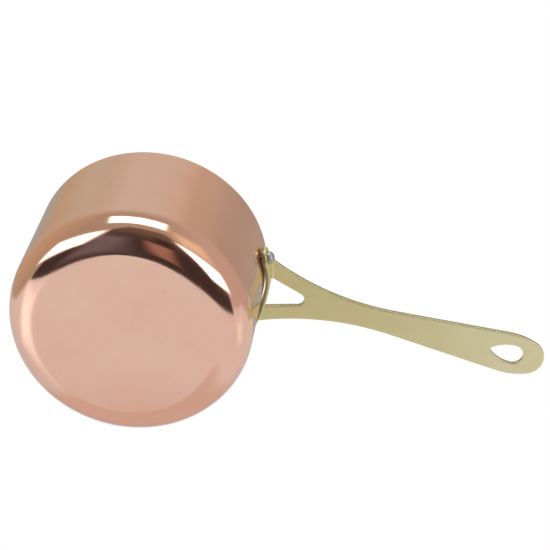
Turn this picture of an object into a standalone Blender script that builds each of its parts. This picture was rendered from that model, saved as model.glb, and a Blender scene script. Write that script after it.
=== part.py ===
"""Small copper saucepan with a lining, a long brass handle and two rivets.

The pan stands on its base at the origin, its axis is +Z and its handle points along +X.
The handle is one brass plate: a long grip that splits into two arms, which bend down into
a flange that lies on the wall of the pan and ends in two round ears, one for each rivet.
"""
import math

import bmesh
import bpy
from mathutils import Vector

MM = 0.001

# ---- driving dimensions, in millimetres --------------------------------------------------
RIM_RADIUS = 45.0            # outside of the straight wall
PAN_HEIGHT = 60.8
COPPER_THICKNESS = 1.0
BASE_FILLET = 12.6           # outside rounding between wall and base
LINING_THICKNESS = 0.6
FIT_GAP = 0.3                # left between pieces that touch
RIM_CHAMFER = 0.2

PLATE_THICKNESS = 1.7
PLATE_UNDERSIDE = 58.95      # height of the grip's underside, measured at the wall
HANDLE_RISE = math.radians(2.8)
FLANGE_GAP = 0.5             # between the wall and the flange
BEND_RADIUS = 1.85           # of the plate's middle surface, where an arm turns down

WAIST_DISTANCE = 44.0        # from the wall to the narrowest place of the grip
WAIST_HALF_WIDTH = 4.85
WAIST_ARC = 106.0            # radius of the hollow sides of the grip
WIDEST_DISTANCE = 99.8       # from the wall to the widest place of the grip
WIDEST_HALF_WIDTH = 8.95
END_TIP_ARC = 7.6
END_TIP_DISTANCE = 106.8     # from the wall to the centre of the tip's rounding

WINDOW_ROOT_HALF = 6.3       # half width of the gap between the arms, at the bend
WINDOW_NOSE_DISTANCE = 13.8
WINDOW_NOSE_RADIUS = 2.7
WINDOW_CORNER = 1.2
WINDOW_DEPTH = 0.5           # how far the gap goes down past the bend

HANG_ROUND_DISTANCE = 101.9
HANG_ROUND_RADIUS = 4.05
HANG_POINT_DISTANCE = 94.0
HANG_POINT_RADIUS = 1.3

EAR_RADIUS = 4.4
EAR_FILLET = 1.5
ARCH_TOP = 52.0              # height of the flange's lower edge midway between the ears
RIVET_AZIMUTH = math.radians(24.5)
RIVET_HEIGHT = 50.0
RIVET_SHANK = 1.6
RIVET_CLEARANCE = 0.35
RIVET_HEAD_RADIUS = 2.6
RIVET_HEAD_HEIGHT = 2.4
RIVET_TAIL_RADIUS = 2.2
RIVET_TAIL_HEIGHT = 0.9

TURN_STEPS = 96              # facets around the pan
BEND_STEPS = 5
CUT_SPACING = 2.1            # widest facet across the flange
DRILL_DEPTH = 8.0            # more than the wall's thickness
RIVET_STEPS = 28

# ---- sizes that follow from them ---------------------------------------------------------
COPPER_INNER = RIM_RADIUS - COPPER_THICKNESS
LINING_OUTER = COPPER_INNER - FIT_GAP
LINING_INNER = LINING_OUTER - LINING_THICKNESS
LINING_UNDERSIDE = COPPER_THICKNESS + FIT_GAP
LINING_FLOOR = LINING_UNDERSIDE + LINING_THICKNESS
FLANGE_MIDDLE = RIM_RADIUS + FLANGE_GAP + PLATE_THICKNESS / 2
FLANGE_OUTER = FLANGE_MIDDLE + PLATE_THICKNESS / 2
BEND_REACH = BEND_RADIUS * (1.0 - math.sin(HANDLE_RISE))
BEND_LENGTH = BEND_RADIUS * (math.pi / 2 - HANDLE_RISE)
PLATE_MIDDLE_AT_WALL = PLATE_UNDERSIDE + PLATE_THICKNESS / 2 / math.cos(HANDLE_RISE)
BEND_LINE_X = FLANGE_MIDDLE + BEND_REACH
BEND_LINE_Z = PLATE_MIDDLE_AT_WALL + (BEND_LINE_X - RIM_RADIUS) * math.tan(HANDLE_RISE)
BEND_CENTRE_Z = BEND_LINE_Z - BEND_RADIUS * math.cos(HANDLE_RISE)
END_RUN = END_TIP_DISTANCE - WIDEST_DISTANCE
END_SIDE_ARC = END_RUN ** 2 + WIDEST_HALF_WIDTH ** 2 - END_TIP_ARC ** 2
END_SIDE_ARC /= 2 * (WIDEST_HALF_WIDTH - END_TIP_ARC)
EAR_ARC = FLANGE_MIDDLE * RIVET_AZIMUTH
EAR_DOWN = BEND_LENGTH + BEND_CENTRE_Z - RIVET_HEIGHT
ARCH_DOWN = BEND_LENGTH + BEND_CENTRE_Z - ARCH_TOP
ARCH_RISE = ARCH_TOP - RIVET_HEIGHT
ARCH_RADIUS = EAR_ARC ** 2 + ARCH_RISE ** 2 - EAR_RADIUS ** 2      # touches both ears
ARCH_RADIUS /= 2 * (EAR_RADIUS + ARCH_RISE)


# ---- helpers -----------------------------------------------------------------------------
def clear_scene():
    for old in list(bpy.data.objects):
        bpy.data.objects.remove(old, do_unlink=True)


def new_collection(name):
    made = bpy.data.collections.new(name)
    bpy.context.scene.collection.children.link(made)
    return made


def metal(name, colour, roughness, metallic=1.0):
    made = bpy.data.materials.new(name)
    made.use_nodes = True
    shader = made.node_tree.nodes["Principled BSDF"]
    shader.inputs["Base Color"].default_value = (*colour, 1.0)
    shader.inputs["Roughness"].default_value = roughness
    shader.inputs["Metallic"].default_value = metallic
    return made


def add_object(name, mesh, collection, material=None):
    made = bpy.data.objects.new(name, mesh)
    collection.objects.link(made)
    if material is not None:
        mesh.materials.append(material)
    return made


def smooth_round(mesh):
    mesh.shade_smooth()
    mesh.set_sharp_from_angle(angle=math.radians(30))


def arc(centre_x, centre_y, radius, start, end, segments):
    """Points on a circle from one angle to another, both included, in degrees."""
    points = []
    for i in range(segments + 1):
        a = math.radians(start + (end - start) * i / segments)
        points.append((centre_x + radius * math.cos(a), centre_y + radius * math.sin(a)))
    return points


def turned(name, profile, collection, material, steps):
    """A closed body turned about +Z from (radius, height) points given in millimetres."""
    mesh = bpy.data.meshes.new(name)
    vertices = [(r * MM, 0.0, z * MM) for r, z in profile]
    edges = [(i, i + 1) for i in range(len(profile) - 1)]
    mesh.from_pydata(vertices, edges, [])
    made = add_object(name, mesh, collection, material)
    screw = made.modifiers.new("turn", "SCREW")
    screw.axis = "Z"
    screw.steps = steps
    screw.render_steps = steps
    screw.use_merge_vertices = True
    screw.merge_threshold = 0.00001
    return made


def rivet_direction(side):
    return Vector((math.cos(RIVET_AZIMUTH), side * math.sin(RIVET_AZIMUTH), 0.0))


def drill_rivet_hole(target, side, cutters):
    """A round hole through the wall of the pan for one rivet's shank."""
    name = f"{target.name}_drill_{'left' if side > 0 else 'right'}"
    radius = (RIVET_SHANK + RIVET_CLEARANCE) * MM
    depth = DRILL_DEPTH * MM
    body = bmesh.new()
    bmesh.ops.create_cone(body, cap_ends=True, segments=RIVET_STEPS, radius1=radius, radius2=radius,
                          depth=depth)
    mesh = bpy.data.meshes.new(name)
    body.to_mesh(mesh)
    body.free()
    cutter = add_object(name, mesh, cutters)
    direction = rivet_direction(side)
    middle = (RIM_RADIUS + LINING_INNER) / 2 * MM
    cutter.location = direction * middle + Vector((0.0, 0.0, RIVET_HEIGHT * MM))
    cutter.rotation_euler = direction.to_track_quat("Z", "Y").to_euler()
    cutter.hide_render = True
    cutter.display_type = "WIRE"
    cut = target.modifiers.new(name, "BOOLEAN")
    cut.operation = "DIFFERENCE"
    cut.solver = "EXACT"
    cut.object = cutter


# ---- pan ---------------------------------------------------------------------------------
def shell_profile(outer, inner, underside, floor, outer_fillet):
    """Half section of an open pot, from the middle of its underside round to its floor."""
    inner_fillet = outer_fillet - (outer - inner)
    section = [(0.0, underside)]
    section += arc(outer - outer_fillet, underside + outer_fillet, outer_fillet, -90, 0, 8)
    section += [(outer, PAN_HEIGHT - RIM_CHAMFER), (outer - RIM_CHAMFER, PAN_HEIGHT)]
    section += [(inner + RIM_CHAMFER, PAN_HEIGHT), (inner, PAN_HEIGHT - RIM_CHAMFER)]
    section += arc(inner - inner_fillet, floor + inner_fillet, inner_fillet, 0, -90, 8)
    section += [(0.0, floor)]
    return section


def build_pan(collection, cutters, copper, steel):
    body_profile = shell_profile(RIM_RADIUS, COPPER_INNER, 0.0, COPPER_THICKNESS, BASE_FILLET)
    lining_fillet = BASE_FILLET - COPPER_THICKNESS - FIT_GAP
    lining_profile = shell_profile(LINING_OUTER, LINING_INNER, LINING_UNDERSIDE, LINING_FLOOR,
                                   lining_fillet)
    for name, profile, material in (("copper_body", body_profile, copper),
                                    ("inner_lining", lining_profile, steel)):
        shell = turned(name, profile[::-1], collection, material, TURN_STEPS)
        drill_rivet_hole(shell, 1, cutters)
        drill_rivet_hole(shell, -1, cutters)


# ---- handle ------------------------------------------------------------------------------
def arm_edge(distance):
    """Half width of the grip at a distance from the wall, on its hollow root side."""
    along = distance - WAIST_DISTANCE
    return WAIST_HALF_WIDTH + WAIST_ARC - math.sqrt(WAIST_ARC ** 2 - along ** 2)


def bend_line_x(across):
    return math.sqrt(FLANGE_MIDDLE ** 2 - across ** 2) + BEND_REACH


def arm_outer_at_bend():
    """Half width over both arms where they meet the bend line."""
    across = WAIST_HALF_WIDTH
    for _ in range(60):
        across = arm_edge(bend_line_x(across) - RIM_RADIUS)
    return across


def arm_stations():
    """Places across one arm that the grip and the bend share."""
    outer = arm_outer_at_bend()
    count = 5
    return [WINDOW_ROOT_HALF + (outer - WINDOW_ROOT_HALF) * i / (count - 1) for i in range(count)]


def mirror_back(points):
    return [(x, -y) for x, y in reversed(points)]


def taper_slope():
    """Slope of the grip's straight sides, which touch the waist arc and the end arc."""
    low = 0.0
    high = 0.3
    for _ in range(50):
        slope = (low + high) / 2
        lean = math.atan(slope)
        start = WAIST_DISTANCE + WAIST_ARC * math.sin(lean)
        stop = WIDEST_DISTANCE - END_SIDE_ARC * math.sin(lean)
        reached = arm_edge(start) + (stop - start) * slope + END_SIDE_ARC * (1.0 - math.cos(lean))
        if reached < WIDEST_HALF_WIDTH:
            low = slope
        else:
            high = slope
    return slope


def grip_outline():
    """Outside of the grip in plan, with the sides of the gap between the arms."""
    stations = arm_stations()
    window_start = (bend_line_x(WINDOW_ROOT_HALF), WINDOW_ROOT_HALF)
    nose_x = RIM_RADIUS + WINDOW_NOSE_DISTANCE
    run = nose_x - window_start[0]
    reach = math.hypot(run, window_start[1])
    lean = math.asin(WINDOW_NOSE_RADIUS / reach)
    side = math.atan2(window_start[1], run) - lean
    tangent = 90.0 - math.degrees(side)
    nose = arc(nose_x, 0.0, WINDOW_NOSE_RADIUS, -tangent, tangent, 14)

    half = [(bend_line_x(v), v) for v in stations]
    start = half[-1][0] - RIM_RADIUS
    lean = math.atan(taper_slope())
    taper_start = WAIST_DISTANCE + WAIST_ARC * math.sin(lean)
    arc_steps = 14
    for i in range(1, arc_steps + 1):
        distance = start + (taper_start - start) * i / arc_steps
        half.append((RIM_RADIUS + distance, arm_edge(distance)))
    side_centre = (RIM_RADIUS + WIDEST_DISTANCE, WIDEST_HALF_WIDTH - END_SIDE_ARC)
    tip_centre = (RIM_RADIUS + END_TIP_DISTANCE, 0.0)
    joint = math.degrees(math.atan2(-side_centre[1], END_RUN))
    half += arc(*side_centre, END_SIDE_ARC, 90.0 + math.degrees(lean), joint, 7)
    half += arc(*tip_centre, END_TIP_ARC, joint, 0.0, 10)[1:]
    return half + mirror_back(half)[1:] + nose


def hang_hole_outline():
    """Drop-shaped hole near the tip, its narrow end toward the pan."""
    round_x = RIM_RADIUS + HANG_ROUND_DISTANCE
    point_x = RIM_RADIUS + HANG_POINT_DISTANCE
    run = round_x - point_x
    side_radius = (run ** 2 + HANG_ROUND_RADIUS ** 2 - HANG_POINT_RADIUS ** 2)
    side_radius /= 2 * (HANG_ROUND_RADIUS - HANG_POINT_RADIUS)
    side_centre = (round_x, HANG_ROUND_RADIUS - side_radius)
    joint = math.degrees(math.atan2(-side_centre[1], point_x - round_x))
    half = arc(round_x, 0.0, HANG_ROUND_RADIUS, 0.0, 90.0, 9)
    half += arc(*side_centre, side_radius, 90.0, joint, 7)[1:]
    half += arc(point_x, 0.0, HANG_POINT_RADIUS, joint, 180.0, 4)[1:]
    return half + mirror_back(half)[1:-1]


def flange_across(arc_length):
    """Straight distance across the pan for a length measured round the flange."""
    return FLANGE_MIDDLE * math.sin(arc_length / FLANGE_MIDDLE)


def flange_outline():
    """Flat pattern of bend and flange: (across, length down from the bend line)."""
    stations = arm_stations()
    side = FLANGE_MIDDLE * math.asin(stations[-1] / FLANGE_MIDDLE)
    fillet_x = side + EAR_FILLET
    drop = math.sqrt((EAR_FILLET + EAR_RADIUS) ** 2 - (EAR_ARC - fillet_x) ** 2)
    fillet_y = EAR_DOWN - drop
    meet = math.degrees(math.atan2(fillet_y - EAR_DOWN, fillet_x - EAR_ARC))
    arch_centre = ARCH_DOWN + ARCH_RADIUS
    arch_meet = math.degrees(math.atan2(arch_centre - EAR_DOWN, -EAR_ARC))
    window_end = BEND_LENGTH + WINDOW_DEPTH
    corner_x = WINDOW_ROOT_HALF - WINDOW_CORNER
    window = [(corner_x / 2, window_end)]
    window += arc(corner_x, window_end - WINDOW_CORNER, WINDOW_CORNER, 90.0, 0.0, 4)
    top = [(v, 0.0) for v in stations]
    lower = [(side, fillet_y)]
    lower += arc(fillet_x, fillet_y, EAR_FILLET, 180.0, 180.0 + meet, 4)[1:]
    lower += arc(EAR_ARC, EAR_DOWN, EAR_RADIUS, meet, arch_meet, 16)[1:]
    lower += arc(0.0, arch_centre, ARCH_RADIUS, arch_meet - 180.0, -90.0, 8)[1:]
    half = window + top + [(flange_across(q), s) for q, s in lower]
    return half + [(-x, y) for x, y in reversed(half[:-1])]


def rivet_hole_outline(side):
    ring = arc(side * EAR_ARC, EAR_DOWN, RIVET_SHANK + RIVET_CLEARANCE, 0.0, 360.0, 20)[:-1]
    return [(flange_across(q), s) for q, s in ring]


def filled_flat(name, loops):
    """A flat face set with holes, from closed outlines given in millimetres."""
    curve = bpy.data.curves.new(name, "CURVE")
    curve.dimensions = "2D"
    curve.fill_mode = "BOTH"
    for loop in loops:
        spline = curve.splines.new("POLY")
        spline.points.add(len(loop) - 1)
        for point, (x, y) in zip(spline.points, loop):
            point.co = (x * MM, y * MM, 0.0, 1.0)
        spline.use_cyclic_u = True
    source = bpy.data.objects.new(name, curve)
    bpy.context.scene.collection.objects.link(source)
    bpy.context.view_layer.update()
    evaluated = source.evaluated_get(bpy.context.evaluated_depsgraph_get())
    mesh = bpy.data.meshes.new_from_object(evaluated)
    bpy.data.objects.remove(source, do_unlink=True)
    bpy.data.curves.remove(curve)
    flat = bmesh.new()
    flat.from_mesh(mesh)
    bpy.data.meshes.remove(mesh)
    bmesh.ops.remove_doubles(flat, verts=flat.verts, dist=0.0000005)
    bmesh.ops.dissolve_limit(flat, angle_limit=math.radians(1), verts=flat.verts, edges=flat.edges)
    return flat


def split_along(flat, axis, values):
    """Cuts a flat face set along straight lines so that it can be bent."""
    normal = (1.0, 0.0, 0.0) if axis == 0 else (0.0, 1.0, 0.0)
    for value in values:
        point = (value * MM, 0.0, 0.0) if axis == 0 else (0.0, value * MM, 0.0)
        geometry = list(flat.verts) + list(flat.edges) + list(flat.faces)
        bmesh.ops.bisect_plane(flat, geom=geometry, dist=0.0000002, plane_co=point, plane_no=normal)


def bend_flange(flat):
    """Moves the flat pattern of the flange to its place round the wall of the pan."""
    for vertex in flat.verts:
        across = vertex.co.x / MM
        down = vertex.co.y / MM
        wall_x = math.sqrt(FLANGE_MIDDLE ** 2 - across ** 2)
        if down < BEND_LENGTH:
            turn = HANDLE_RISE + down / BEND_RADIUS
            x = wall_x + BEND_RADIUS * (1.0 - math.sin(turn))
            z = BEND_CENTRE_Z + BEND_RADIUS * math.cos(turn)
            lower = (bend_line_x(across) - BEND_LINE_X) * math.tan(HANDLE_RISE)
            z += lower * (1.0 - down / BEND_LENGTH)
        else:
            x = wall_x
            z = BEND_CENTRE_Z - (down - BEND_LENGTH)
        vertex.co = Vector((x, across, z)) * MM


def lift_grip(flat):
    """Moves the grip from its plan to its height and rise."""
    for vertex in flat.verts:
        beyond_wall = vertex.co.x / MM - RIM_RADIUS
        vertex.co.z = (PLATE_MIDDLE_AT_WALL + beyond_wall * math.tan(HANDLE_RISE)) * MM


def build_handle(collection, brass):
    stations = arm_stations()
    grip = filled_flat("grip_plan", [grip_outline(), hang_hole_outline()])
    lift_grip(grip)
    flange = filled_flat("flange_plan",
                         [flange_outline(), rivet_hole_outline(1), rivet_hole_outline(-1)])
    split_along(flange, 1, [BEND_LENGTH * i / BEND_STEPS for i in range(1, BEND_STEPS + 1)])
    ear = flange_across(EAR_ARC)
    half = [CUT_SPACING, 2 * CUT_SPACING] + stations
    half += [ear + CUT_SPACING * step for step in (-1.5, -0.75, 0.0, 0.75, 1.5)]
    split_along(flange, 0, [0.0] + half + [-v for v in half])
    bend_flange(flange)
    mesh = bpy.data.meshes.new("brass_handle")
    flange_mesh = bpy.data.meshes.new("flange_part")
    flange.to_mesh(flange_mesh)
    grip.from_mesh(flange_mesh)
    flange.free()
    bpy.data.meshes.remove(flange_mesh)
    bmesh.ops.remove_doubles(grip, verts=grip.verts, dist=0.00002)
    bmesh.ops.triangulate(grip, faces=grip.faces)
    bmesh.ops.recalc_face_normals(grip, faces=grip.faces)
    grip.to_mesh(mesh)
    grip.free()
    handle = add_object("brass_handle", mesh, collection, brass)
    thick = handle.modifiers.new("thickness", "SOLIDIFY")
    thick.thickness = PLATE_THICKNESS * MM
    thick.offset = 0.0
    thick.use_even_offset = True
    thick.use_rim = True


# ---- rivets ------------------------------------------------------------------------------
def rivet_profile():
    """Half section of a rivet; heights are distances from the pan's axis."""
    seat = FLANGE_OUTER + FIT_GAP
    inner_wall = math.sqrt(LINING_INNER ** 2 - RIVET_TAIL_RADIUS ** 2)
    tail_seat = inner_wall - FIT_GAP
    steps = 9
    section = []
    for i in range(steps + 1):
        a = math.radians(90.0 * (1.0 - i / steps))
        section.append((RIVET_HEAD_RADIUS * math.cos(a), seat + RIVET_HEAD_HEIGHT * math.sin(a)))
    section[0] = (0.0, seat + RIVET_HEAD_HEIGHT)
    section += [(RIVET_SHANK, seat), (RIVET_SHANK, tail_seat)]
    for i in range(steps + 1):
        a = math.radians(90.0 * i / steps)
        section.append((RIVET_TAIL_RADIUS * math.cos(a), tail_seat - RIVET_TAIL_HEIGHT * math.sin(a)))
    section[-1] = (0.0, tail_seat - RIVET_TAIL_HEIGHT)
    return section


def build_rivets(collection, steel):
    for name, side in (("rivet_left", 1), ("rivet_right", -1)):
        rivet = turned(name, rivet_profile(), collection, steel, RIVET_STEPS)
        rivet.location = (0.0, 0.0, RIVET_HEIGHT * MM)
        rivet.rotation_euler = rivet_direction(side).to_track_quat("Z", "Y").to_euler()


def main():
    clear_scene()
    pan = new_collection("copper_saucepan")
    cutters = new_collection("cutters")
    cutters.hide_render = True
    copper = metal("polished_copper", (0.80, 0.42, 0.29), 0.16)
    lining = metal("lining_steel", (0.66, 0.66, 0.65), 0.28)
    brass = metal("satin_brass", (0.62, 0.50, 0.22), 0.30)
    rivet_metal = metal("rivet_steel", (0.52, 0.52, 0.52), 0.35)
    build_pan(pan, cutters, copper, lining)
    build_handle(pan, brass)
    build_rivets(pan, rivet_metal)
    for piece in pan.objects:
        smooth_round(piece.data)


main()
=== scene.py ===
"""Looks of a small copper saucepan with a brushed lining, a brass plate handle and two rivets.

The pan stands on its base at the origin, its axis is +Z and its handle points along +X. The
CAD nodes give the sizes; each is replaced by a finer piece in the same place.
"""
import math

import bmesh
import bpy
from mathutils import Matrix, Vector
from mathutils.geometry import tessellate_polygon


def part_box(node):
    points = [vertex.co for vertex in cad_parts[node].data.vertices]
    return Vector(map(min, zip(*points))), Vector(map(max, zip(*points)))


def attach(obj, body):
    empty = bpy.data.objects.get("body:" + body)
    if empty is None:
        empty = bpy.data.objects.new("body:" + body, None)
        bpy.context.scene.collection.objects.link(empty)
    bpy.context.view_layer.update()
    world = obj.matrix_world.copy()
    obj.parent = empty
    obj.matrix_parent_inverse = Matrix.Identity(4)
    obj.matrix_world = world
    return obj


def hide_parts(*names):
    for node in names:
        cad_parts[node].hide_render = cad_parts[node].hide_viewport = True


MM = 0.001

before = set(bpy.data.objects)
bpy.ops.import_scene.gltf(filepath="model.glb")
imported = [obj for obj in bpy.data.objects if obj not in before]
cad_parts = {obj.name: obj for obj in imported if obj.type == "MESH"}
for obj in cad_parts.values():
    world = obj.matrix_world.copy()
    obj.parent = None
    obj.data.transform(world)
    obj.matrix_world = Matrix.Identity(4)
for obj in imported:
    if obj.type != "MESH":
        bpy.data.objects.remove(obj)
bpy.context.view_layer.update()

# ---- sizes, in millimetres: the pan's own from the CAD, the rest as the CAD draws them ---
RIM_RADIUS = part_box("copper_body")[1].y / MM
PAN_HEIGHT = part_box("copper_body")[1].z / MM
COPPER_THICKNESS = 1.0
LINING_THICKNESS = 0.88      # fills all but a hair of the gap that the CAD leaves
LINING_GAP = 0.02
LINING_STEP = 0.12           # how far the lining's rim stays below the copper's
BASE_FILLET = 12.6
RIM_ROUNDING = 0.4

PLATE_THICKNESS = 1.7
EDGE_ROUNDING = 0.38
PLATE_UNDERSIDE = 58.95
HANDLE_RISE = math.radians(2.8)
FLANGE_GAP = 0.5
BEND_RADIUS = 1.85

WAIST_DISTANCE = 44.0
WAIST_HALF_WIDTH = 4.85
WAIST_ARC = 106.0
WIDEST_DISTANCE = 99.8
WIDEST_HALF_WIDTH = 8.95
END_TIP_ARC = 7.6
END_TIP_DISTANCE = 106.8

WINDOW_ROOT_HALF = 6.3
WINDOW_NOSE_DISTANCE = 13.8
WINDOW_NOSE_RADIUS = 2.7
WINDOW_CORNER = 1.2
WINDOW_DEPTH = 0.5

HANG_ROUND_DISTANCE = 101.9
HANG_ROUND_RADIUS = 4.05
HANG_POINT_DISTANCE = 94.0
HANG_POINT_RADIUS = 1.3

EAR_RADIUS = 4.4
EAR_FILLET = 1.5
ARCH_TOP = 52.0
RIVET_AZIMUTH = math.radians(24.5)
RIVET_HEIGHT = 50.0
RIVET_SHANK = 1.6
RIVET_HOLE = 1.75
RIVET_HEAD_RADIUS = 2.6
RIVET_HEAD_HEIGHT = 2.4
RIVET_TAIL_RADIUS = 2.2
RIVET_TAIL_HEIGHT = 0.9
RIVET_SEAT = 0.04            # a hair of air under each head
HEAD_SKIRT = 0.25            # straight part of the head, below its dome
HEAD_SQUARENESS = 0.82       # 1 gives an elliptic dome, less a squarer one
HEAD_ROUNDING = 0.2
TAIL_ROUNDING = 0.15
DRILL_DEPTH = 8.0            # more than the wall's thickness

FLAT_RING = 0.36             # a ring of corners on the flat base, as a share of the radius
RIVET_BAND = 6.0             # rings of corners this far above and below the rivets
SHARP_ANGLE = 35.0

TURN_STEPS = 256
FILLET_STEPS = 28
ROUNDING_STEPS = 6
RIVET_STEPS = 64
DOME_STEPS = 22
BEND_STEPS = 10
LENGTH_CUTS = [-3.0 - 4.0 * i for i in range(26)] + [6.0, 9.0, 12.0, 15.0]
CROSS_CUTS = [1.5 * i for i in range(-15, 16)]

COPPER_INNER = RIM_RADIUS - COPPER_THICKNESS
LINING_OUTER = COPPER_INNER - LINING_GAP
LINING_INNER = LINING_OUTER - LINING_THICKNESS
FLANGE_MIDDLE = RIM_RADIUS + FLANGE_GAP + PLATE_THICKNESS / 2
FLANGE_OUTER = FLANGE_MIDDLE + PLATE_THICKNESS / 2
BEND_REACH = BEND_RADIUS * (1.0 - math.sin(HANDLE_RISE))
BEND_LENGTH = BEND_RADIUS * (math.pi / 2 - HANDLE_RISE)
PLATE_MIDDLE_AT_WALL = PLATE_UNDERSIDE + PLATE_THICKNESS / 2 / math.cos(HANDLE_RISE)
BEND_LINE_X = FLANGE_MIDDLE + BEND_REACH
BEND_LINE_Z = PLATE_MIDDLE_AT_WALL + (BEND_LINE_X - RIM_RADIUS) * math.tan(HANDLE_RISE)
BEND_CENTRE_Z = BEND_LINE_Z - BEND_RADIUS * math.cos(HANDLE_RISE)
END_RUN = END_TIP_DISTANCE - WIDEST_DISTANCE
END_SIDE_ARC = END_RUN ** 2 + WIDEST_HALF_WIDTH ** 2 - END_TIP_ARC ** 2
END_SIDE_ARC /= 2 * (WIDEST_HALF_WIDTH - END_TIP_ARC)
EAR_ARC = FLANGE_MIDDLE * RIVET_AZIMUTH
EAR_DOWN = BEND_LENGTH + BEND_CENTRE_Z - RIVET_HEIGHT
ARCH_DOWN = BEND_LENGTH + BEND_CENTRE_Z - ARCH_TOP
ARCH_RISE = ARCH_TOP - RIVET_HEIGHT
ARCH_RADIUS = EAR_ARC ** 2 + ARCH_RISE ** 2 - EAR_RADIUS ** 2
ARCH_RADIUS /= 2 * (EAR_RADIUS + ARCH_RISE)


# ---- node helpers ------------------------------------------------------------------------
def add_node(tree, kind, inputs=None, **settings):
    made = tree.nodes.new("ShaderNode" + kind)
    for name, value in settings.items():
        setattr(made, name, value)
    for key, value in (inputs or {}).items():
        if isinstance(value, bpy.types.NodeSocket):
            tree.links.new(value, made.inputs[key])
        else:
            made.inputs[key].default_value = value
    return made


def calc(tree, operation, a, b=0.0, c=0.0):
    return add_node(tree, "Math", {0: a, 1: b, 2: c}, operation=operation).outputs[0]


def ramp(tree, value, low, high, to_low=0.0, to_high=1.0, smooth=False):
    kind = "SMOOTHSTEP" if smooth else "LINEAR"
    made = add_node(tree, "MapRange", {"Value": value, "From Min": low, "From Max": high,
                                       "To Min": to_low, "To Max": to_high},
                    interpolation_type=kind, clamp=True)
    return made.outputs["Result"]


def blend(tree, factor, first, second):
    """Colour blend; colours are sockets or RGB triples."""
    made = add_node(tree, "Mix", {"Factor": factor}, data_type="RGBA", blend_type="MIX")
    colours = [s for s in made.inputs if s.type == "RGBA"]
    for place, value in zip(colours, (first, second)):
        if isinstance(value, bpy.types.NodeSocket):
            tree.links.new(value, place)
        else:
            place.default_value = (*value, 1.0)
    return [s for s in made.outputs if s.type == "RGBA"][0]


def scaled(tree, vector, scale, turn=0.0):
    return add_node(tree, "Mapping", {"Vector": vector, "Scale": scale,
                                      "Rotation": (0.0, 0.0, turn)}).outputs[0]


def noise(tree, vector, scale, detail, roughness=0.5):
    made = add_node(tree, "TexNoise", {"Vector": vector, "Scale": scale, "Detail": detail,
                                       "Roughness": roughness})
    return made.outputs["Fac"]


def hairlines(tree, vector, along, across, turn, rarity):
    """Sparse fine scratches that run one way: 1 on a scratch, 0 between."""
    lines = noise(tree, scaled(tree, vector, (across, along, along), turn), 1.0, 2.0)
    return ramp(tree, lines, rarity, rarity + 0.05)


def bump(tree, height, distance, normal=None):
    inputs = {"Height": height, "Distance": distance}
    if normal is not None:
        inputs["Normal"] = normal
    return add_node(tree, "Bump", inputs).outputs["Normal"]


def new_material(name, metallic=1.0):
    """A new material with its node tree and its shader."""
    made = bpy.data.materials.new(name)
    made.use_nodes = True
    shader = made.node_tree.nodes["Principled BSDF"]
    shader.inputs["Metallic"].default_value = metallic
    return made, made.node_tree, shader


def connect(tree, shader, colour, roughness, normal):
    tree.links.new(colour, shader.inputs["Base Color"])
    tree.links.new(roughness, shader.inputs["Roughness"])
    tree.links.new(normal, shader.inputs["Normal"])


def turned_coordinates(tree):
    """(cosine, sine, metres along the profile) on a turned piece, and its own coordinates."""
    place = add_node(tree, "TexCoord")
    flat = add_node(tree, "VectorMath", {0: place.outputs["Object"], 1: (1.0, 1.0, 0.0)},
                    operation="MULTIPLY").outputs[0]
    round_part = add_node(tree, "VectorMath", {0: flat}, operation="NORMALIZE").outputs[0]
    parts = add_node(tree, "SeparateXYZ", {0: round_part})
    along = add_node(tree, "SeparateXYZ", {0: place.outputs["UV"]}).outputs[0]
    made = add_node(tree, "CombineXYZ", {0: parts.outputs[0], 1: parts.outputs[1], 2: along})
    return made.outputs[0], place.outputs["Object"]


# ---- materials ---------------------------------------------------------------------------
def polished_copper():
    made, tree, shader = new_material("polished_copper")
    turned, place = turned_coordinates(tree)
    cloud = noise(tree, place, 34.0, 4.0, 0.55)
    patch = noise(tree, place, 120.0, 3.0, 0.6)
    rings = noise(tree, scaled(tree, turned, (2.5, 2.5, 5200.0)), 1.0, 3.0, 0.6)
    wide_rings = noise(tree, scaled(tree, turned, (0.8, 0.8, 420.0)), 1.0, 2.0)
    scratches = calc(tree, "MAXIMUM", hairlines(tree, place, 70.0, 4200.0, 0.5, 0.70),
                     hairlines(tree, place, 60.0, 3600.0, -0.9, 0.71))
    colour = blend(tree, ramp(tree, cloud, 0.35, 0.70), (0.955, 0.632, 0.515),
                   (0.93, 0.585, 0.462))
    colour = blend(tree, ramp(tree, patch, 0.60, 0.80, 0.0, 0.30), colour, (0.86, 0.50, 0.38))
    roughness = ramp(tree, cloud, 0.30, 0.75, 0.075, 0.115)
    roughness = calc(tree, "ADD", roughness, ramp(tree, rings, 0.35, 0.75, 0.0, 0.03))
    roughness = calc(tree, "ADD", roughness, calc(tree, "MULTIPLY", scratches, 0.06))
    normal = bump(tree, rings, 0.0000012)
    normal = bump(tree, wide_rings, 0.000004, normal)
    normal = bump(tree, scratches, 0.000001, normal)
    connect(tree, shader, colour, roughness, normal)
    return made


def brushed_lining():
    made, tree, shader = new_material("brushed_lining")
    turned, place = turned_coordinates(tree)
    cloud = noise(tree, place, 28.0, 4.0, 0.55)
    rings = noise(tree, scaled(tree, turned, (4.0, 4.0, 4200.0)), 1.0, 4.0, 0.65)
    spots = noise(tree, place, 420.0, 2.0, 0.5)
    colour = blend(tree, ramp(tree, cloud, 0.35, 0.70), (0.74, 0.735, 0.72), (0.66, 0.65, 0.63))
    colour = blend(tree, ramp(tree, spots, 0.68, 0.76, 0.0, 0.25), colour, (0.52, 0.50, 0.47))
    roughness = calc(tree, "ADD", ramp(tree, cloud, 0.30, 0.75, 0.22, 0.28),
                     ramp(tree, rings, 0.35, 0.70, 0.0, 0.10))
    normal = bump(tree, rings, 0.000006)
    connect(tree, shader, colour, roughness, normal)
    return made


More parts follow.
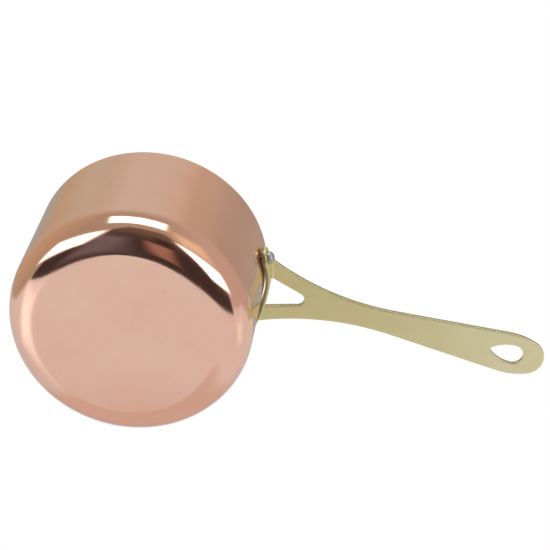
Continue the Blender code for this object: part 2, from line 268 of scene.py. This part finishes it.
def satin_brass():
    """Brushed along the grip; its cut edges are duller than its faces, and darker with painted
    shade.
    """
    made, tree, shader = new_material("satin_brass")
    pattern = add_node(tree, "TexCoord").outputs["UV"]
    place = add_node(tree, "TexCoord").outputs["Object"]
    cloud = noise(tree, place, 42.0, 4.0, 0.55)
    stain = noise(tree, place, 160.0, 3.0, 0.6)
    brushing = noise(tree, scaled(tree, pattern, (6200.0, 95.0, 1.0)), 1.0, 3.0, 0.6)
    streaks = noise(tree, scaled(tree, pattern, (900.0, 16.0, 1.0)), 1.0, 2.0)
    scratches = calc(tree, "MAXIMUM", hairlines(tree, pattern, 55.0, 3000.0, 0.35, 0.69),
                     hairlines(tree, pattern, 70.0, 3400.0, -0.6, 0.70))
    cut = add_node(tree, "Attribute", attribute_name="edge_shade_share").outputs["Fac"]
    colour = blend(tree, ramp(tree, cloud, 0.32, 0.70), (0.965, 0.95, 0.64),
                   (0.945, 0.90, 0.56))
    colour = blend(tree, ramp(tree, streaks, 0.40, 0.75, 0.0, 0.35), colour, (0.92, 0.90, 0.58))
    along = add_node(tree, "SeparateXYZ", {0: pattern}).outputs[1]
    # the grip turns a darker, more saturated brass toward its root by the pan
    darker_toward_root = ramp(tree, along, -0.115, -0.02, 0.0, 0.9, True)
    colour = blend(tree, darker_toward_root, colour, (0.82, 0.755, 0.41))
    colour = blend(tree, ramp(tree, stain, 0.62, 0.80, 0.0, 0.35), colour, (0.66, 0.57, 0.29))
    # the top of the cut edge's bevel turns up to halfway to another brass tone
    bevel_tone = ramp(tree, cut, 0.05, 0.30, 0.0, 0.5)
    colour = blend(tree, bevel_tone, colour, (0.90, 0.86, 0.55))
    # painted shade: the cut edge turns a dark olive brown as if in shadow, and is also duller
    sheared_edge_shade = ramp(tree, cut, 0.25, 0.75, 0.0, 0.85)
    colour = blend(tree, sheared_edge_shade, colour, (0.29, 0.25, 0.13))
    roughness = calc(tree, "ADD", ramp(tree, cloud, 0.30, 0.75, 0.34, 0.39),
                     ramp(tree, brushing, 0.35, 0.75, 0.0, 0.07))
    roughness = calc(tree, "ADD", roughness, calc(tree, "MULTIPLY", sheared_edge_shade, 0.10))
    normal = bump(tree, brushing, 0.000006)
    normal = bump(tree, scratches, 0.000004, normal)
    connect(tree, shader, colour, roughness, normal)
    return made


def rivet_steel():
    made, tree, shader = new_material("rivet_steel")
    place = add_node(tree, "TexCoord").outputs["Object"]
    cloud = noise(tree, place, 380.0, 4.0, 0.6)
    grain = noise(tree, place, 2600.0, 3.0, 0.6)
    colour = blend(tree, ramp(tree, cloud, 0.35, 0.68), (0.55, 0.56, 0.57), (0.44, 0.45, 0.46))
    colour = blend(tree, ramp(tree, grain, 0.60, 0.75, 0.0, 0.4), colour, (0.33, 0.33, 0.32))
    roughness = calc(tree, "ADD", ramp(tree, cloud, 0.30, 0.75, 0.42, 0.52),
                     ramp(tree, grain, 0.35, 0.75, 0.0, 0.08))
    normal = bump(tree, cloud, 0.00006)
    normal = bump(tree, grain, 0.00001, normal)
    connect(tree, shader, colour, roughness, normal)
    return made


# ---- shapes ------------------------------------------------------------------------------
def arc(centre_x, centre_y, radius, start, end, segments):
    """Points on a circle from one angle to another, both included, in degrees."""
    points = []
    for i in range(segments + 1):
        a = math.radians(start + (end - start) * i / segments)
        points.append((centre_x + radius * math.cos(a), centre_y + radius * math.sin(a)))
    return points


def link(name, mesh, material=None):
    made = bpy.data.objects.new(name, mesh)
    bpy.context.scene.collection.objects.link(made)
    if material is not None:
        mesh.materials.append(material)
    return made


def settle(piece):
    """Turns a piece's modifiers into its mesh."""
    bpy.context.view_layer.update()
    evaluated = piece.evaluated_get(bpy.context.evaluated_depsgraph_get())
    mesh = bpy.data.meshes.new_from_object(evaluated)
    piece.modifiers.clear()
    old = piece.data
    piece.data = mesh
    bpy.data.meshes.remove(old)


def smooth_shading(piece):
    piece.data.shade_smooth()
    piece.data.set_sharp_from_angle(angle=math.radians(SHARP_ANGLE))
    weighted = piece.modifiers.new("weighted_normals", "WEIGHTED_NORMAL")
    weighted.weight = 100
    weighted.keep_sharp = True


def turned_piece(name, profile, steps, material):
    """A closed piece turned about +Z; the profile starts and ends on the axis, in millimetres."""
    body = bmesh.new()
    layer = body.loops.layers.uv.new("UVMap")
    lengths = [0.0]
    for (r0, z0), (r1, z1) in zip(profile, profile[1:]):
        lengths.append(lengths[-1] + math.hypot(r1 - r0, z1 - z0))
    rings = []
    for r, z in profile:
        if r == 0.0:
            rings.append([body.verts.new((0.0, 0.0, z * MM))])
            continue
        ring = []
        for i in range(steps):
            a = 2 * math.pi * i / steps
            ring.append(body.verts.new((r * MM * math.cos(a), r * MM * math.sin(a), z * MM)))
        rings.append(ring)
    for j in range(len(rings) - 1):
        low, high = rings[j], rings[j + 1]
        for i in range(steps):
            k = (i + 1) % steps
            corners = [(low[i % len(low)], j, i), (low[k % len(low)], j, i + 1),
                       (high[k % len(high)], j + 1, i + 1), (high[i % len(high)], j + 1, i)]
            kept = [c for n, c in enumerate(corners) if c[0] not in [d[0] for d in corners[:n]]]
            face = body.faces.new([c[0] for c in kept])
            for loop, (_, row, column) in zip(face.loops, kept):
                loop[layer].uv = (lengths[row] * MM, column / steps)
    bmesh.ops.recalc_face_normals(body, faces=body.faces)
    mesh = bpy.data.meshes.new(name)
    body.to_mesh(mesh)
    body.free()
    return link(name, mesh, material)


def shell_profile(outer, inner, underside, floor, top, outer_fillet):
    """Half section of an open pot, from the middle of its underside round to its floor."""
    inner_fillet = outer_fillet - (outer - inner)
    low, high = RIVET_HEIGHT - RIVET_BAND, RIVET_HEIGHT + RIVET_BAND
    rim_z = top - RIM_ROUNDING
    section = [(0.0, underside), (outer * FLAT_RING, underside)]
    section += arc(outer - outer_fillet, underside + outer_fillet, outer_fillet, -90, 0,
                   FILLET_STEPS)
    section += [(outer, low), (outer, high)]
    section += arc(outer - RIM_ROUNDING, rim_z, RIM_ROUNDING, 0, 90, ROUNDING_STEPS)
    section += arc(inner + RIM_ROUNDING, rim_z, RIM_ROUNDING, 90, 180, ROUNDING_STEPS)
    section += [(inner, high), (inner, low)]
    section += arc(inner - inner_fillet, floor + inner_fillet, inner_fillet, 0, -90,
                   FILLET_STEPS)
    section += [(inner * FLAT_RING, floor), (0.0, floor)]
    return section


def rivet_turn(side):
    """The way a rivet points out of the wall, and the turn that lays +Z along it."""
    direction = Vector((math.cos(RIVET_AZIMUTH), side * math.sin(RIVET_AZIMUTH), 0.0))
    return direction, direction.to_track_quat("Z", "Y").to_matrix().to_4x4()


def drill_rivet_holes(shell):
    for side in (1, -1):
        direction, turn = rivet_turn(side)
        body = bmesh.new()
        bmesh.ops.create_cone(body, cap_ends=True, segments=48, radius1=RIVET_HOLE * MM,
                              radius2=RIVET_HOLE * MM, depth=DRILL_DEPTH * MM)
        mesh = bpy.data.meshes.new("drill")
        body.to_mesh(mesh)
        body.free()
        drill = link("drill", mesh)
        place = direction * (LINING_INNER * MM) + Vector((0.0, 0.0, RIVET_HEIGHT * MM))
        drill.matrix_world = Matrix.Translation(place) @ turn
        cut = shell.modifiers.new("rivet_hole", "BOOLEAN")
        cut.operation = "DIFFERENCE"
        cut.solver = "EXACT"
        cut.object = drill
        settle(shell)
        bpy.data.objects.remove(drill, do_unlink=True)


def build_pan(copper, steel):
    body = turned_piece("copper_shell", shell_profile(
        RIM_RADIUS, COPPER_INNER, 0.0, COPPER_THICKNESS, PAN_HEIGHT, BASE_FILLET),
        TURN_STEPS, copper)
    underside = RIM_RADIUS - LINING_OUTER
    lining = turned_piece("lining_shell", shell_profile(
        LINING_OUTER, LINING_INNER, underside, underside + LINING_THICKNESS,
        PAN_HEIGHT - LINING_STEP, BASE_FILLET - underside), TURN_STEPS, steel)
    for shell, node, slot in ((body, "copper_body", "copper"), (lining, "inner_lining", "lining")):
        drill_rivet_holes(shell)
        smooth_shading(shell)
        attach(shell, "root")
        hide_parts(node)


# ---- handle ------------------------------------------------------------------------------
def arm_edge(distance):
    """Half width of the grip at a distance from the wall, on its hollow root side."""
    along = distance - WAIST_DISTANCE
    return WAIST_HALF_WIDTH + WAIST_ARC - math.sqrt(WAIST_ARC ** 2 - along ** 2)


def bend_line_x(across):
    """Where an arm starts to turn down, at a distance from the middle of the grip."""
    return math.sqrt(FLANGE_MIDDLE ** 2 - across ** 2) + BEND_REACH


def on_pattern(points):
    """Grip plan (x, y) to the flat pattern: (across, length down from the bend line)."""
    return [(y, bend_line_x(y) - x) for x, y in points]


def taper_slope():
    """Slope of the grip's straight sides, which touch the waist arc and the end arc."""
    low = 0.0
    high = 0.3
    for _ in range(50):
        slope = (low + high) / 2
        lean = math.atan(slope)
        start = WAIST_DISTANCE + WAIST_ARC * math.sin(lean)
        stop = WIDEST_DISTANCE - END_SIDE_ARC * math.sin(lean)
        reached = arm_edge(start) + (stop - start) * slope + END_SIDE_ARC * (1.0 - math.cos(lean))
        if reached < WIDEST_HALF_WIDTH:
            low = slope
        else:
            high = slope
    return slope


def outer_loop():
    """Outside of the whole flat pattern."""
    root = WAIST_HALF_WIDTH
    for _ in range(60):
        root = arm_edge(bend_line_x(root) - RIM_RADIUS)
    start = bend_line_x(root) - RIM_RADIUS
    lean = math.atan(taper_slope())
    taper_start = WAIST_DISTANCE + WAIST_ARC * math.sin(lean)
    steps = 36
    grip = []
    for i in range(steps + 1):
        distance = start + (taper_start - start) * i / steps
        grip.append((RIM_RADIUS + distance, arm_edge(distance)))
    side_centre = (RIM_RADIUS + WIDEST_DISTANCE, WIDEST_HALF_WIDTH - END_SIDE_ARC)
    joint = math.degrees(math.atan2(-side_centre[1], END_RUN))
    grip += arc(*side_centre, END_SIDE_ARC, 90.0 + math.degrees(lean), joint, 20)
    grip += arc(RIM_RADIUS + END_TIP_DISTANCE, 0.0, END_TIP_ARC, joint, 0.0, 26)[1:]

    side = FLANGE_MIDDLE * math.asin(root / FLANGE_MIDDLE)
    fillet_x = side + EAR_FILLET
    drop = math.sqrt((EAR_FILLET + EAR_RADIUS) ** 2 - (EAR_ARC - fillet_x) ** 2)
    fillet_y = EAR_DOWN - drop
    meet = math.degrees(math.atan2(fillet_y - EAR_DOWN, fillet_x - EAR_ARC))
    arch_centre = ARCH_DOWN + ARCH_RADIUS
    arch_meet = math.degrees(math.atan2(arch_centre - EAR_DOWN, -EAR_ARC))
    lower = arc(fillet_x, fillet_y, EAR_FILLET, 180.0, 180.0 + meet, 10)
    lower += arc(EAR_ARC, EAR_DOWN, EAR_RADIUS, meet, arch_meet, 40)[1:]
    lower += arc(0.0, arch_centre, ARCH_RADIUS, arch_meet - 180.0, -90.0, 20)[1:]
    flange = [(FLANGE_MIDDLE * math.sin(q / FLANGE_MIDDLE), s) for q, s in lower]
    half = flange[::-1] + on_pattern(grip)
    return half + [(-v, s) for v, s in reversed(half[1:-1])]


def window_loop():
    """The gap between the arms, from its nose in the grip to its corners in the flange."""
    root_x = bend_line_x(WINDOW_ROOT_HALF)
    nose_x = RIM_RADIUS + WINDOW_NOSE_DISTANCE
    run = nose_x - root_x
    reach = math.hypot(run, WINDOW_ROOT_HALF)
    lean = math.asin(WINDOW_NOSE_RADIUS / reach)
    tangent = 90.0 - math.degrees(math.atan2(WINDOW_ROOT_HALF, run) - lean)
    nose = arc(nose_x, 0.0, WINDOW_NOSE_RADIUS, 0.0, tangent, 16)
    end_x, end_y = nose[-1]
    steps = 8
    for i in range(1, steps + 1):
        nose.append((end_x + (root_x - end_x) * i / steps,
                     end_y + (WINDOW_ROOT_HALF - end_y) * i / steps))
    window_end = BEND_LENGTH + WINDOW_DEPTH
    corner_x = WINDOW_ROOT_HALF - WINDOW_CORNER
    half = on_pattern(nose)
    half += arc(corner_x, window_end - WINDOW_CORNER, WINDOW_CORNER, 0.0, 90.0, 8)
    return half + [(-v, s) for v, s in reversed(half[1:])]


def hang_loop():
    """Drop-shaped hole near the tip, its narrow end toward the pan."""
    round_x = RIM_RADIUS + HANG_ROUND_DISTANCE
    point_x = RIM_RADIUS + HANG_POINT_DISTANCE
    side_radius = (round_x - point_x) ** 2 + HANG_ROUND_RADIUS ** 2 - HANG_POINT_RADIUS ** 2
    side_radius /= 2 * (HANG_ROUND_RADIUS - HANG_POINT_RADIUS)
    side_centre = (round_x, HANG_ROUND_RADIUS - side_radius)
    joint = math.degrees(math.atan2(-side_centre[1], point_x - round_x))
    half = arc(round_x, 0.0, HANG_ROUND_RADIUS, 0.0, 90.0, 24)
    half += arc(*side_centre, side_radius, 90.0, joint, 16)[1:]
    half += arc(point_x, 0.0, HANG_POINT_RADIUS, joint, 180.0, 12)[1:]
    return on_pattern(half) + [(-v, s) for v, s in reversed(on_pattern(half[1:-1]))]


def rivet_loop(side):
    """The hole in an ear."""
    ring = arc(side * EAR_ARC, EAR_DOWN, RIVET_HOLE, 0.0, 360.0, 40)[:-1]
    return [(FLANGE_MIDDLE * math.sin(q / FLANGE_MIDDLE), s) for q, s in ring]


def turning_way(loop, anticlockwise):
    area = sum(a[0] * b[1] - b[0] * a[1] for a, b in zip(loop, loop[1:] + loop[:1]))
    return loop if (area > 0) == anticlockwise else loop[::-1]


def moved_inward(loop, distance):
    """A loop moved to its left, mitred at its corners."""
    moved = []
    count = len(loop)
    for i in range(count):
        here = Vector(loop[i])
        before = (here - Vector(loop[i - 1])).normalized()
        after = (Vector(loop[(i + 1) % count]) - here).normalized()
        left_before = Vector((-before.y, before.x))
        left_after = Vector((-after.y, after.x))
        mitre = (left_before + left_after) / (1.0 + left_before.dot(left_after))
        moved.append(tuple(here + mitre * distance))
    return moved


def edge_share(down, inward, height):
    """How much a point belongs to the cut edge, whose painted shade is darkest toward the plate's
    top.
    """
    share = 1.0 - inward
    if height < PLATE_THICKNESS / 4:
        share *= 0.3 if down > BEND_LENGTH else 0.45
    return share


def plate_slab(loops, thickness, rounding):
    """A flat plate with holes and rounded edges, as a bmesh in millimetres."""
    body = bmesh.new()
    # per corner, its share of the cut edge's painted shade
    edge_shade_layer = body.verts.layers.float.new("edge_shade_share")
    half = thickness / 2
    turns = [math.radians(a) for a in (0, 22.5, 45, 67.5, 90)]
    levels = [(rounding * (1 - math.cos(t)), half - rounding * (1 - math.sin(t))) for t in turns]
    levels = [(offset, -height) for offset, height in reversed(levels)] + levels
    caps = ([], [])
    flats = []
    for loop in loops:
        rings = []
        for offset, height in levels:
            ring = []
            for v, s in moved_inward(loop, offset):
                vertex = body.verts.new((v, s, height))
                vertex[edge_shade_layer] = edge_share(s, offset / rounding, height)
                ring.append(vertex)
            rings.append(ring)
        for low, high in zip(rings, rings[1:]):
            for i in range(len(low)):
                k = (i + 1) % len(low)
                body.faces.new((low[i], low[k], high[k], high[i]))
        caps[0].extend(rings[0])
        caps[1].extend(rings[-1])
        flats.append([Vector((v, s, 0.0)) for v, s in moved_inward(loop, rounding)])
    for triangle in tessellate_polygon(flats):
        body.faces.new([caps[0][i] for i in triangle])
        body.faces.new([caps[1][i] for i in triangle])
    bmesh.ops.recalc_face_normals(body, faces=body.faces)
    return body


def split_along(body, axis, values):
    """Cuts the plate's faces along lines, so that it can bend there."""
    normal = (1.0, 0.0, 0.0) if axis == 0 else (0.0, 1.0, 0.0)
    for value in values:
        point = (value, 0.0, 0.0) if axis == 0 else (0.0, value, 0.0)
        geometry = list(body.verts) + list(body.edges) + list(body.faces)
        bmesh.ops.bisect_plane(body, geom=geometry, dist=0.0001, plane_co=point, plane_no=normal)


def bent_place(across, down, height):
    """From the flat pattern to the bent handle, in millimetres."""
    wall_x = math.sqrt(FLANGE_MIDDLE ** 2 - across ** 2)
    curve = -across / wall_x
    rise = math.tan(HANDLE_RISE)
    if down < 0.0:
        x = bend_line_x(across) - down
        middle = Vector((x, across, PLATE_MIDDLE_AT_WALL + (x - RIM_RADIUS) * rise))
        turn = HANDLE_RISE
        slope = curve * rise
    elif down < BEND_LENGTH:
        turn = HANDLE_RISE + down / BEND_RADIUS
        left = 1.0 - down / BEND_LENGTH
        lower = (bend_line_x(across) - BEND_LINE_X) * rise * left
        middle = Vector((wall_x + BEND_RADIUS * (1.0 - math.sin(turn)), across,
                         BEND_CENTRE_Z + BEND_RADIUS * math.cos(turn) + lower))
        slope = curve * rise * left
    else:
        turn = math.pi / 2
        middle = Vector((wall_x, across, BEND_CENTRE_Z - (down - BEND_LENGTH)))
        slope = 0.0
    normal = Vector((-math.sin(turn), curve * math.sin(turn) - slope * math.cos(turn),
                     math.cos(turn)))
    return middle + normal.normalized() * height


def build_handle(brass):
    loops = [turning_way(outer_loop(), True)]
    holes = [window_loop(), hang_loop(), rivet_loop(1), rivet_loop(-1)]
    loops += [turning_way(hole, False) for hole in holes]
    body = plate_slab(loops, PLATE_THICKNESS, EDGE_ROUNDING)
    bend_cuts = [BEND_LENGTH * i / BEND_STEPS for i in range(BEND_STEPS + 1)]
    split_along(body, 1, bend_cuts + LENGTH_CUTS)
    split_along(body, 0, CROSS_CUTS)
    layer = body.loops.layers.uv.new("UVMap")
    for face in body.faces:
        for loop in face.loops:
            loop[layer].uv = (loop.vert.co.x * MM, loop.vert.co.y * MM)
    for vertex in body.verts:
        vertex.co = bent_place(*vertex.co) * MM
    mesh = bpy.data.meshes.new("handle_plate")
    body.to_mesh(mesh)
    body.free()
    handle = link("handle_plate", mesh, brass)
    smooth_shading(handle)
    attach(handle, "root")
    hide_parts("brass_handle")


# ---- rivets ------------------------------------------------------------------------------
def rivet_profile():
    """Half section of a rivet; heights are distances from the pan's axis."""
    seat = FLANGE_OUTER + RIVET_SEAT
    tail_seat = math.sqrt(LINING_INNER ** 2 - RIVET_TAIL_RADIUS ** 2) - RIVET_SEAT
    section = [(0.0, seat + RIVET_HEAD_HEIGHT)]
    for i in range(1, DOME_STEPS + 1):
        a = math.radians(90.0 * i / DOME_STEPS)
        section.append((RIVET_HEAD_RADIUS * math.sin(a) ** HEAD_SQUARENESS,
                        seat + HEAD_SKIRT + (RIVET_HEAD_HEIGHT - HEAD_SKIRT) * math.cos(a)))
    section += arc(RIVET_HEAD_RADIUS - HEAD_ROUNDING, seat + HEAD_ROUNDING, HEAD_ROUNDING,
                   0, -90, 4)
    section += [(RIVET_SHANK, seat), (RIVET_SHANK, tail_seat)]
    tail_side = tail_seat - TAIL_ROUNDING
    section += arc(RIVET_TAIL_RADIUS - TAIL_ROUNDING, tail_side, TAIL_ROUNDING, 90, 0, 4)
    for i in range(1, DOME_STEPS):
        a = math.radians(90.0 * i / DOME_STEPS)
        section.append((RIVET_TAIL_RADIUS * math.cos(a),
                        tail_side - (RIVET_TAIL_HEIGHT - TAIL_ROUNDING) * math.sin(a)))
    section.append((0.0, tail_seat - RIVET_TAIL_HEIGHT))
    return section


def build_rivets(steel):
    for name, side, node in (("rivet_left_pin", 1, "rivet_left"),
                             ("rivet_right_pin", -1, "rivet_right")):
        rivet = turned_piece(name, rivet_profile(), RIVET_STEPS, steel)
        turn = rivet_turn(side)[1]
        rivet.data.transform(Matrix.Translation((0.0, 0.0, RIVET_HEIGHT * MM)) @ turn)
        smooth_shading(rivet)
        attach(rivet, "root")
        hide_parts(node)


# ---- studio ------------------------------------------------------------------------------
CAMERA_PLACE = (0.0199322, -0.3421450, -0.5415332)
CAMERA_LOOKS_ALONG = (0.0404010, 0.4856095, 0.8732418)
CAMERA_RIGHT = (0.9615082, -0.2566212, 0.0982223)
CAMERA_LENS = 116.2
SOFT_BOX = (2.9, 2.88, 2.8)
OVERHEAD_BOX = (1.45, 1.44, 1.40)
FLOOR_HALF_WIDTH = 3.0       # in metres, as all that follows about the floor
FLOOR_DROP = 0.0004          # keeps the base clear of the floor
FLOOR_FADE = (0.35, 1.6)
CLOTH_REACH = 70.0           # the cloth's edge is drawn this far each way, in degrees
CLOTH_TOP = 30.0
CLOTH_ENDS = (22.0, 1.0)
CLOTH_EDGE = ((-33, 19), (-13, 22), (-3, 24.5), (4, 20), (22, 9.5), (42, 5))


def build_camera():
    data = bpy.data.cameras.new("camera")
    data.lens = CAMERA_LENS
    data.sensor_width = 36.0
    data.clip_start = 0.01
    data.clip_end = 20.0
    camera = bpy.data.objects.new("camera", data)
    bpy.context.scene.collection.objects.link(camera)
    back = -Vector(CAMERA_LOOKS_ALONG).normalized()
    right = Vector(CAMERA_RIGHT).normalized()
    up = back.cross(right).normalized()
    right = up.cross(back)
    turn = Matrix((right, up, back)).transposed().to_4x4()
    camera.matrix_world = Matrix.Translation(CAMERA_PLACE) @ turn
    bpy.context.scene.camera = camera


def build_floor():
    """A pale table top under the pan, seen only from above, that fades out far away."""
    body = bmesh.new()
    bmesh.ops.create_grid(body, x_segments=8, y_segments=8, size=FLOOR_HALF_WIDTH)
    mesh = bpy.data.meshes.new("floor")
    body.to_mesh(mesh)
    body.free()
    made, tree, shader = new_material("pale_floor", 0.0)
    place = add_node(tree, "TexCoord").outputs["Object"]
    tone = noise(tree, place, 3.0, 2.0)
    tree.links.new(blend(tree, tone, (0.83, 0.825, 0.815), (0.85, 0.845, 0.84)),
                   shader.inputs["Base Color"])
    shader.inputs["Roughness"].default_value = 0.75
    shader.inputs["Emission Color"].default_value = (1.0, 0.99, 0.97, 1.0)
    shader.inputs["Emission Strength"].default_value = 0.11
    behind = add_node(tree, "NewGeometry").outputs["Backfacing"]
    away = add_node(tree, "VectorMath", {0: place}, operation="LENGTH").outputs["Value"]
    gone = calc(tree, "MAXIMUM", behind, ramp(tree, away, *FLOOR_FADE, 0.0, 1.0, True))
    clear = add_node(tree, "BsdfTransparent").outputs[0]
    both = add_node(tree, "MixShader", {0: gone, 1: shader.outputs[0], 2: clear})
    tree.links.new(both.outputs[0], tree.nodes["Material Output"].inputs["Surface"])
    floor = link("floor", mesh, made)
    floor.location = (0.0, 0.0, -FLOOR_DROP)
    floor.visible_diffuse = False
    floor.visible_glossy = False
    floor.visible_transmission = False
    floor.visible_shadow = False


def inside_corners(tree, x, y, corners, soft):
    """1 inside a convex outline given anticlockwise in degrees, 0 outside, soft between."""
    nearest = None
    for (ax, ay), (bx, by) in zip(corners, corners[1:] + corners[:1]):
        length = math.hypot(bx - ax, by - ay)
        dx, dy = (bx - ax) / length, (by - ay) / length
        far = calc(tree, "MULTIPLY_ADD", y, dx, ax * dy - ay * dx)
        far = calc(tree, "MULTIPLY_ADD", x, -dy, far)
        nearest = far if nearest is None else calc(tree, "MINIMUM", nearest, far)
    return ramp(tree, nearest, -soft, soft, 0.0, 1.0, True)


def build_studio():
    """Soft boxes, a dark backdrop and a pale surround, painted on the world by direction.

    A direction is named by (x, y) in degrees: its angle from straight down, split over the
    world's X and Y. Straight down is (0, 0) and the horizon is a circle of radius 90.
    """
    world = bpy.data.worlds.new("studio")
    bpy.context.scene.world = world
    world.use_nodes = True
    tree = world.node_tree
    tree.nodes.clear()
    direction = add_node(tree, "TexCoord").outputs["Generated"]
    parts = add_node(tree, "SeparateXYZ", {0: direction})
    sideways = calc(tree, "SQRT", calc(tree, "ADD", calc(tree, "POWER", parts.outputs[0], 2.0),
                                       calc(tree, "POWER", parts.outputs[1], 2.0)))
    sideways = calc(tree, "MAXIMUM", sideways, 0.00001)
    down = calc(tree, "MULTIPLY", parts.outputs[2], -1.0)
    angle = calc(tree, "DEGREES", calc(tree, "ARCCOSINE", down))
    stretch = calc(tree, "DIVIDE", angle, sideways)
    x = calc(tree, "MULTIPLY", parts.outputs[0], stretch)
    y = calc(tree, "MULTIPLY", parts.outputs[1], stretch)

    # room: warm grey, dimmer to the right and behind, with one warm patch
    high = blend(tree, ramp(tree, x, -20.0, 30.0), (0.63, 0.595, 0.53), (0.62, 0.55, 0.465))
    high = blend(tree, ramp(tree, x, 30.0, 70.0), high, (0.54, 0.46, 0.37))
    high = blend(tree, ramp(tree, x, 95.0, 155.0), high, (0.43, 0.365, 0.315))
    left = blend(tree, ramp(tree, y, -10.0, 50.0), (0.55, 0.515, 0.42), (0.53, 0.44, 0.31))
    high = blend(tree, ramp(tree, x, -105.0, -145.0), high, left)
    behind = blend(tree, ramp(tree, x, -60.0, 20.0), (0.51, 0.39, 0.28), (0.43, 0.37, 0.32))
    high = blend(tree, ramp(tree, y, 40.0, 75.0), high, behind)
    high = blend(tree, ramp(tree, y, 85.0, 118.0), high, (0.40, 0.39, 0.345))
    right = blend(tree, ramp(tree, y, 20.0, 90.0), (0.56, 0.47, 0.42), (0.49, 0.41, 0.26))
    low = blend(tree, ramp(tree, y, 60.0, 100.0), (0.42, 0.355, 0.28), (0.42, 0.41, 0.38))
    low = blend(tree, ramp(tree, x, 0.0, 60.0), low, right)
    far_left = blend(tree, ramp(tree, y, 75.0, 115.0), (0.52, 0.41, 0.29), (0.41, 0.39, 0.34))
    low = blend(tree, ramp(tree, x, -70.0, -105.0), low, far_left)
    colour = blend(tree, ramp(tree, angle, 122.0, 150.0), low, high)
    warm = inside_corners(tree, x, y, [(20, -88), (55, -80), (60, -52), (25, -62)], 10.0)
    colour = blend(tree, warm, colour, (0.85, 0.74, 0.54))
    # pale table below the pan, cooler far away, with a pinkish place and two bright ones
    table = blend(tree, ramp(tree, y, 55.0, 100.0), (0.745, 0.735, 0.715), (0.62, 0.62, 0.64))
    blush = blend(tree, ramp(tree, y, 85.0, 105.0), (0.65, 0.545, 0.485), (0.56, 0.485, 0.465))
    pink = inside_corners(tree, x, y, [(2.3, 24), (25, 24), (100, 84), (100, 112),
                                       (-36, 112), (-31, 95)], 3.0)
    slant = calc(tree, "MULTIPLY_ADD", y, -1.2, x)
    for value, none, full in ((y, 33.3, 34.9), (slant, -4.0, -32.0), (x, 86.0, 60.0)):
        pink = calc(tree, "MULTIPLY", pink, ramp(tree, value, none, full, 0.0, 1.0, True))
    table = blend(tree, pink, table, blush)
    far = blend(tree, ramp(tree, x, 15.0, 45.0), (0.74, 0.645, 0.62), (0.73, 0.76, 0.73))
    table = blend(tree, ramp(tree, y, 110.0, 132.0), table, far)
    left_glow = inside_corners(tree, x, y, [(-62, 26), (-30, 28), (-20, 46), (-48, 60)], 11.0)
    table = blend(tree, left_glow, table, (1.25, 1.26, 1.25))
    right_glow = inside_corners(tree, x, y, [(70, 8), (90, 8), (84, 28), (70, 28)], 6.0)
    table = blend(tree, right_glow, table, (0.95, 0.94, 0.90))
    edge = inside_corners(tree, x, y, [(-66, 20), (10, 0), (100, -8), (140, 45), (126, 76),
                                       (110, 99), (70, 128), (30, 144), (-30, 142), (-60, 130),
                                       (-88, 113), (-95, 95), (-92, 66)], 3.5)
    colour = blend(tree, edge, colour, table)
    # dark backdrop between the soft boxes, with the hollow lower edge of its cloth
    outline = add_node(tree, "FloatCurve", {"Value": ramp(tree, x, -CLOTH_REACH, CLOTH_REACH)})
    points = outline.mapping.curves[0].points
    for spot, level in CLOTH_EDGE:
        points.new((spot + CLOTH_REACH) / (2 * CLOTH_REACH), level / CLOTH_TOP)
    points[0].location = (0.0, CLOTH_ENDS[0] / CLOTH_TOP)
    points[-1].location = (1.0, CLOTH_ENDS[1] / CLOTH_TOP)
    outline.mapping.update()
    edge_line = calc(tree, "MULTIPLY", outline.outputs[0], CLOTH_TOP)
    above_edge = ramp(tree, calc(tree, "SUBTRACT", edge_line, y), -0.5, 0.5, 0.0, 1.0, True)
    hull = inside_corners(tree, x, y, [(66, 60), (-65, 60), (-65, 2), (-38, -52), (-25, -68),
                                       (8, -72), (66, -22)], 1.5)
    dark = calc(tree, "MULTIPLY", hull, above_edge)
    backdrop = blend(tree, ramp(tree, y, -34.0, -62.0), (0.055, 0.035, 0.035),
                     (0.16, 0.115, 0.09))
    mauve = inside_corners(tree, x, y, [(-38, -36), (-16, -34), (-8, 14), (-30, 10)], 8.0)
    backdrop = blend(tree, mauve, backdrop, (0.175, 0.15, 0.17))
    glow = inside_corners(tree, x, y, [(-5, -34), (12, -32), (8, 2), (1, 2)], 4.0)
    backdrop = blend(tree, glow, backdrop, (0.36, 0.205, 0.155))
    black = inside_corners(tree, x, y, [(0, -52), (14, -50), (16, -38), (2, -38)], 4.0)
    backdrop = blend(tree, black, backdrop, (0.05, 0.03, 0.02))
    colour = blend(tree, dark, colour, backdrop)
    # soft boxes: left, right, a long strip by bearing and angle, and a dimmer one overhead
    for corners, soft in (([(-39, -48), (-39, -15), (-73, 5), (-73, -20)], 4.0),
                          ([(18, -59), (66, -41), (72, -21), (42, -22)], 2.0)):
        mask = inside_corners(tree, x, y, corners, soft)
        colour = blend(tree, mask, colour, SOFT_BOX)
    bearing = calc(tree, "DEGREES", calc(tree, "ARCTAN2", y, x))
    strip = inside_corners(tree, bearing, angle, [(-125, 87), (-84, 87), (-84, 111),
                                                  (-125, 111)], 1.5)
    colour = blend(tree, strip, colour, SOFT_BOX)
    overhead = ramp(tree, angle, 157.0, 166.0, 0.0, 1.0, True)
    colour = blend(tree, overhead, colour, OVERHEAD_BOX)

    # the camera itself sees plain white
    light = add_node(tree, "Background", {"Color": colour, "Strength": 1.0}).outputs[0]
    plain = add_node(tree, "Background", {"Color": (1.0, 1.0, 1.0, 1.0)}).outputs[0]
    seen = add_node(tree, "LightPath").outputs["Is Camera Ray"]
    both = add_node(tree, "MixShader", {0: seen, 1: light, 2: plain})
    output = add_node(tree, "OutputWorld")
    tree.links.new(both.outputs[0], output.inputs["Surface"])
    bpy.context.scene.view_settings.view_transform = "Standard"


copper = polished_copper()
lining = brushed_lining()
brass = satin_brass()
steel = rivet_steel()
build_pan(copper, lining)
build_handle(brass)
build_rivets(steel)
build_floor()
build_studio()
build_camera()

bpy.context.view_layer.update()
